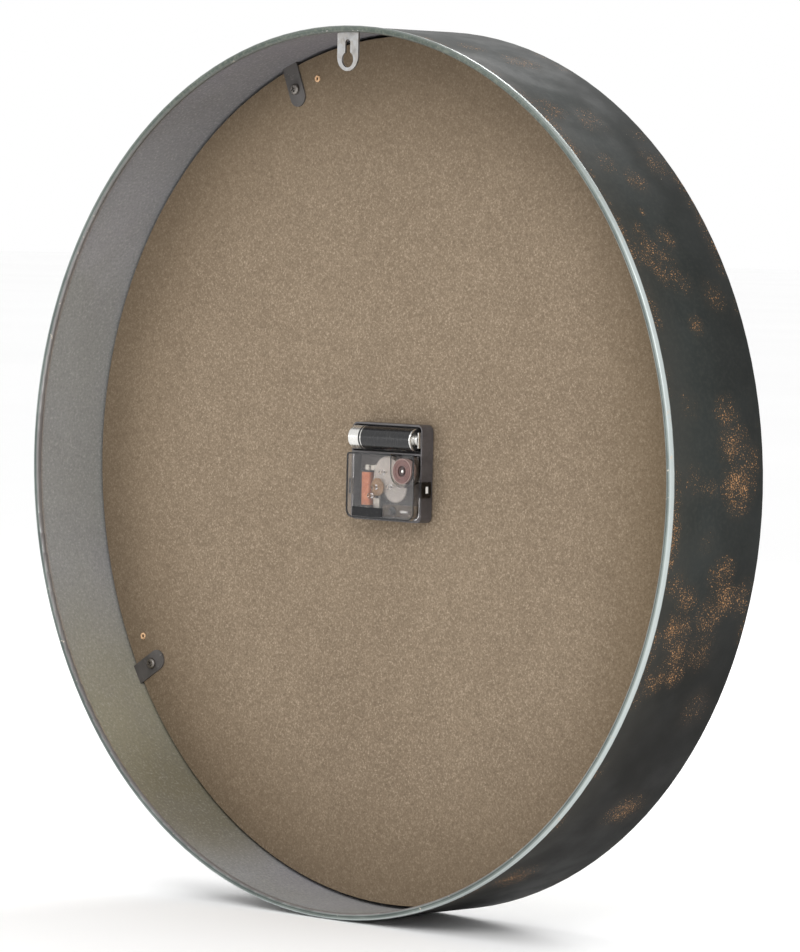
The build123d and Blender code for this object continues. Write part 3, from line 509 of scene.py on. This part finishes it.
finishes = {
    "drum_paint": drum_paint(),
    "clip_paint": plain_paint("clip_paint", (0.085, 0.078, 0.074), 0.5, 120.0, wear=(0.24, 0.22, 0.20)),
    "zinc_screw": brushed_plate("zinc_screw", (0.26, 0.24, 0.22), 0.40, (6, 1, 6), 300.0),
    "galvanised": brushed_plate("galvanised", (0.36, 0.345, 0.325), 0.50, (8, 1, 1), 90.0, spangle=0.6),
    "hardboard": hardboard(),
    "dial_paper": dial_paper(),
    "dial_ink": dial_ink(),
    "spacer_plastic": plain_paint("spacer_plastic", (0.030, 0.030, 0.030), 0.55, 30.0),
    "clear_glass": clear("clear_glass", (0.98, 0.99, 0.98), 0.0, 0.02, 1.45),
    "hand_black": plain_paint("hand_black", (0.016, 0.016, 0.017), 0.42, 60.0, wear=(0.10, 0.075, 0.05)),
    "brass": turned_brass(),
    "black_rubber": plain_paint("black_rubber", (0.020, 0.020, 0.020), 0.78, 200.0),
    "black_case": black_case(),
    "clear_cover": clear("clear_cover", (0.93, 0.91, 0.90), 0.06, 0.14, 1.49),
    "label_film": moulded("label_film", (0.010, 0.010, 0.011), 0.55, dust=0.3, Specular_IOR_Level=0.2),
    "cell_steel": brushed_plate("cell_steel", (0.78, 0.77, 0.75), 0.20, (1, 20, 20), 120.0),
    "cell_jacket": cell_jacket(),
    "contact_plate": brushed_plate("contact_plate", (0.80, 0.79, 0.76), 0.24, (1, 12, 1), 240.0),
    "plate_plastic": moulded("plate_plastic", (0.070, 0.058, 0.054), 0.42, dust=0.3, Specular_IOR_Level=0.3),
    "white_wheel": moulded("white_wheel", (0.74, 0.68, 0.62), 0.34, 0.10, Subsurface_Weight=0.2,
                           Subsurface_Radius=(0.002, 0.0018, 0.0015)),
    "amber_wheel": moulded("amber_wheel", (0.40, 0.21, 0.07), 0.32, 0.25),
    "magnet": plain_paint("magnet", (0.06, 0.06, 0.065), 0.4, 500.0, metal=0.7),
    "stator_iron": brushed_plate("stator_iron", (0.50, 0.47, 0.42), 0.35, (1, 1, 16), 200.0),
    "bobbin_black": moulded("bobbin_black", (0.030, 0.030, 0.032), 0.4),
    "copper_wire": copper_wire(),
    "board_brown": circuit_brown(),
    "epoxy_black": moulded("epoxy_black", (0.012, 0.012, 0.012), 0.18),
    "pin_steel": pin_steel(),
    "knob_red": knob_red(),
}
for node, piece in pieces.items():
    piece.data.materials.clear()
    piece.data.materials.append(finishes[slot_of[node]])


# ---- small surface pieces ----
def surface(name, points, faces, slot, own_finish=None):
    """Smooth mesh from point and face arrays, riding on the case, in its slot's finish or its own."""
    mesh = bpy.data.meshes.new(name)
    mesh.from_pydata(np.asarray(points, float).tolist(), [], [list(map(int, face)) for face in faces])
    mesh.validate()
    mesh.polygons.foreach_set("use_smooth", [True] * len(mesh.polygons))
    mesh.materials.append(own_finish or finishes[slot])
    piece = bpy.data.objects.new(name, mesh)
    bpy.context.scene.collection.objects.link(piece)
    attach(piece, "case")


def grid_faces(rows, columns, wrap_rows=False):
    """Quads over a rows x columns grid whose columns close on themselves."""
    last = rows if wrap_rows else rows - 1
    i, j = np.meshgrid(np.arange(last), np.arange(columns), indexing="ij")
    i2, j2 = (i + 1) % rows, (j + 1) % columns
    corners = (i * columns + j, i2 * columns + j, i2 * columns + j2, i * columns + j2)
    return np.stack(corners, -1).reshape(-1, 4)


rng = np.random.default_rng(11)


def torn_lip(spot, radius, height):
    """Ragged ring: a closed tube section r(u) swept round a hole, its height raised by random tufts in v."""
    around, along = 36, 10
    v = np.linspace(0, 2 * np.pi, around, endpoint=False)
    u = np.linspace(0, 2 * np.pi, along, endpoint=False)
    tuft = 0.55 + 0.45 * np.abs(np.sin(2.5 * v + 1.0)) + 0.35 * rng.random(around)
    ring = radius + 0.40 * radius * np.cos(u)[None] * (0.8 + 0.5 * rng.random(around))[:, None]
    rise = height * (0.15 + np.maximum(0.0, np.sin(u))[None] * tuft[:, None])
    rise = rise - height * 0.3 * (np.sin(u)[None] < 0)
    x = spot[0] + ring * np.cos(v)[:, None]
    z = spot[2] + ring * np.sin(v)[:, None]
    points = np.stack([x, np.maximum(spot[1] + rise, spot[1] - 0.0001), z], -1).reshape(-1, 3)
    return points, grid_faces(around, along, wrap_rows=True)


def low_domes(spots, sizes, normals, height):
    """Small flattened beads: half-ellipse profile r(u) = cos u, h(u) = sin u, turned round each normal."""
    points, faces = [], []
    rings, around = 5, 10
    u = np.linspace(0, np.pi / 2 * 0.96, rings)
    v = np.linspace(0, 2 * np.pi, around, endpoint=False)
    for index, (spot, size, normal) in enumerate(zip(spots, sizes, normals)):
        n = np.asarray(normal) / np.linalg.norm(normal)
        a = np.cross(n, (0.3, 0.8, 0.51))
        a = a / np.linalg.norm(a)
        b = np.cross(n, a)
        wobble = 1 + 0.3 * rng.random(around)
        circle = np.cos(v)[None, :, None] * a + np.sin(v)[None, :, None] * b
        flat = (np.cos(u)[:, None] * wobble[None])[..., None] * circle
        rise = (height * size * np.sin(u))[:, None, None] * n
        dome = np.asarray(spot) + size * flat + rise - n * 0.05 * size
        points.append(dome.reshape(-1, 3))
        start = index * rings * around
        faces += (grid_faces(rings, around) + start).tolist()
        faces.append([start + (rings - 1) * around + k for k in range(around)][::-1])
        faces.append([start + k for k in range(around)])
    return np.concatenate(points), faces


def fibres(roots, directions, lengths, width):
    """Thin curved hairs: a three-sided tube whose centre line bends as root + d s + sag s squared."""
    steps, sides = 7, 3
    points, faces = [], []
    s = np.linspace(0, 1, steps)
    v = np.linspace(0, 2 * np.pi, sides, endpoint=False)
    leaning = np.array(((1, 0, 0), (0, 1, 0), (0.3, 0.3, 1)))
    section = np.stack([np.cos(v), np.sin(v), 0 * v], -1) @ leaning
    taper = width * (1 - 0.75 * s)[:, None, None]
    for index, (root, direction, length) in enumerate(zip(roots, directions, lengths)):
        sag = rng.normal(0, 0.45, 3) * (1, 0.35, 1)
        line = root + length * (s[:, None] * direction + (s ** 2)[:, None] * sag)
        line[:, 1] = np.maximum(line[:, 1], board_y + width)
        points.append((line[:, None] + taper * section[None]).reshape(-1, 3))
        faces += (grid_faces(steps, sides) + index * steps * sides).tolist()
    return np.concatenate(points), faces


# pale torn fibre round the two misplaced pilot holes
torn = Finish("torn_fibre", (0.72, 0.46, 0.26), 0.85)
torn.set("Base Color", tones(torn, (0.72, 0.46, 0.26), 0.25, torn.noise(700.0, 5.0)))
torn.relief((torn.noise(1800.0, 3.0), 0.5, 0.0001))
hole_radius = wall_inner - 0.0150
for name, angle in (("torn_fibre_upper", 72.2), ("torn_fibre_lower", 332.6)):
    x, _, z = on_wall(angle, 0, hole_radius)
    points, faces = torn_lip((x, board_y, z), 0.00145, 0.0007)
    surface(name, points, faces, "hardboard", torn.material)

# weld spatter on the hem beside the hanger and inside above the upper clip
spots, normals = [], []
for angle in (93.4, 92.6, 91.7, 91.1, 87.0, 86.2):
    spots.append(on_wall(angle, rear_y, wall_inner - 0.0006 * rng.random()))
    normals.append((0, 1, 0))
for angle, above_board in ((68.4, 0.006), (67.2, 0.007), (69.8, 0.005)):
    spots.append(on_wall(angle, board_y + above_board, wall_inner))
    normals.append([-c for c in on_wall(angle, 0, 1.0)])
points, faces = low_domes(spots, 0.0005 + 0.0005 * rng.random(len(spots)), normals, 0.05)
surface("weld_spatter", points, faces, "galvanised")

# board fluff caught beside the movement
hairs = 70
heights = rng.uniform(-0.018, 0.012, hairs)
roots = np.stack([case_low.x - 0.0004 - 0.004 * rng.random(hairs), board_y + 0.0006 * rng.random(hairs),
                  heights], -1)
directions = np.stack([-0.6 - 0.5 * rng.random(hairs), 0.05 + 0.25 * rng.random(hairs),
                       rng.normal(0.0, 0.5, hairs)], -1)
points, faces = fibres(roots, directions, rng.uniform(0.002, 0.0065, hairs), 0.00006)
fluff = Finish("board_fluff", (0.58, 0.50, 0.38), 0.8)
fluff.set("Base Color", tones(fluff, (0.55, 0.47, 0.35), 0.3, fluff.noise(300.0, 5.0)))
surface("board_fluff", points, faces, "hardboard", fluff.material)


# ---- floor, light, camera ----
def studio_floor(height, reach, colour):
    """One wide flat sheet in an even pale finish."""
    corners = [(x * reach, y * reach, height) for x, y in ((-1, -1), (1, -1), (1, 1), (-1, 1))]
    mesh = bpy.data.meshes.new("floor")
    mesh.from_pydata(corners, [], [(0, 1, 2, 3)])
    f = Finish("floor", colour, 0.9)
    f.set("Base Color", tones(f, colour, 0.01, f.noise(0.5, 5.0)))
    mesh.materials.append(f.material)
    sheet = bpy.data.objects.new("floor", mesh)
    bpy.context.scene.collection.objects.link(sheet)


studio_floor(drum_low.z - 0.0005, 40.0, (0.98, 0.98, 0.98))

world = bpy.data.worlds.new("studio")
bpy.context.scene.world = world
world.use_nodes = True
sky = world.node_tree.nodes["Background"]
sky.inputs["Color"].default_value = (1.0, 1.0, 1.0, 1.0)
sky.inputs["Strength"].default_value = 1.0


def softbox(name, place, size, power):
    """Round soft lamp aimed at the clock's centre."""
    lamp = bpy.data.lights.new(name, "AREA")
    lamp.shape, lamp.size, lamp.energy = "DISK", size, power
    box = bpy.data.objects.new(name, lamp)
    bpy.context.scene.collection.objects.link(box)
    box.location = place
    box.rotation_euler = (-Vector(place)).to_track_quat("-Z", "Y").to_euler()


softbox("key", (-1.6, 1.9, 1.3), 1.2, 26)
softbox("side", (1.4, 2.2, 0.2), 0.9, 8)
softbox("front_key", (0.9, -2.2, 1.4), 1.2, 30)

camera_place = Vector((-2.1837, 2.2481, 0.1438))
camera_aim = Vector((-0.0524, 0.0390, 0.0011))
camera_roll = radians(1.29)
lens = bpy.data.cameras.new("camera")
lens.sensor_fit, lens.sensor_height, lens.lens = "VERTICAL", 36.0, 206.95
lens.clip_start = 0.05
view = bpy.data.objects.new("camera", lens)
bpy.context.scene.collection.objects.link(view)
ahead = (camera_aim - camera_place).normalized()
right = ahead.cross(Vector((0, 0, 1))).normalized()
up = right.cross(ahead)
right, up = (right * np.cos(camera_roll) + up * np.sin(camera_roll),
             up * np.cos(camera_roll) - right * np.sin(camera_roll))
turn = Matrix((right, up, -ahead)).transposed().to_4x4()
view.matrix_world = Matrix.Translation(camera_place) @ turn
bpy.context.scene.camera = view
bpy.context.scene.view_settings.view_transform = "Standard"
